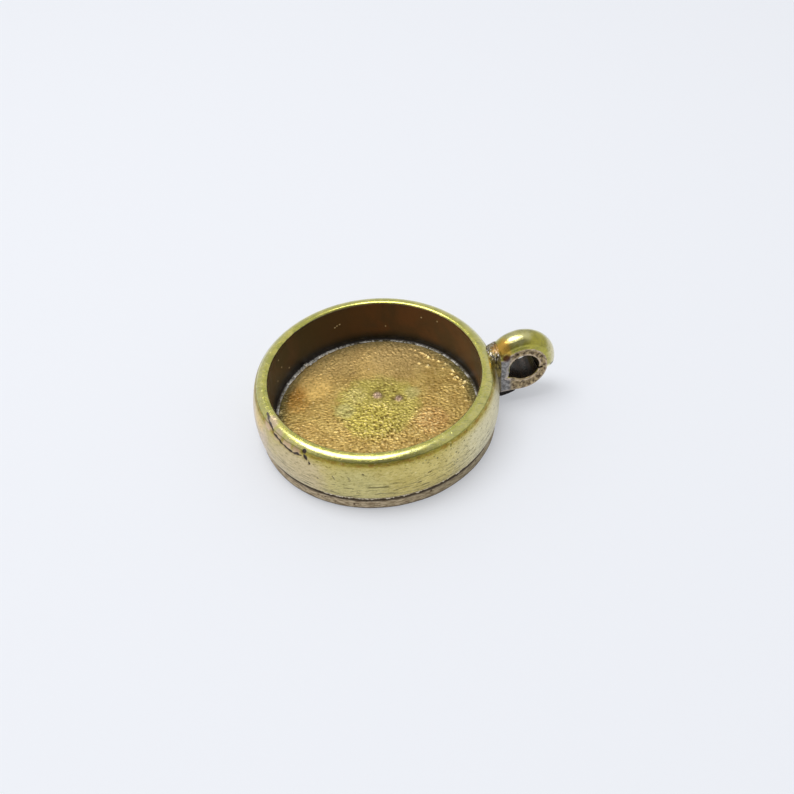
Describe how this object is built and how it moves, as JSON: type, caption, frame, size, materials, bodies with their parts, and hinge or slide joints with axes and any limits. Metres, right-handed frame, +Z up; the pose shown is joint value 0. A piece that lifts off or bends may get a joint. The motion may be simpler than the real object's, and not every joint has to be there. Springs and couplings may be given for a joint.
{
  "type": "round pendant setting",
  "caption": "Open round cup setting for a pendant: a deep seat for a round stone or resin, with a fixed eye at the side for a chain or jump ring.",
  "frame": {"origin": "centre of the cup's flat back face, on the surface that it lies on", "axes": "+Z up the cup's axis, out of its open mouth; +Y from the cup's axis to the loop; +X across the loop, along its eye"},
  "size_m": [0.0188, 0.0235, 0.0061],
  "materials": {
    "band_brass": "polished on the rim, satin outside, with a dark brown patina inside",
    "plate_brass": "grainy as cast on the floor, dull brown on the edge",
    "loop_brass": "polished on the crown, dull on the sides",
    "floor_solder": "dull pale solder, broken up by patina",
    "seam_solder": "dark, uneven, with a few bright beads",
    "root_solder": "silver solder with orange fire stain"
  },
  "bodies": {
    "root": {"bezel_band": "band_brass", "base_plate": "plate_brass", "floor_solder": "floor_solder", "seam_solder": "seam_solder", "bail_loop": "loop_brass", "loop_solder": "root_solder"}
  },
  "joints": []
}
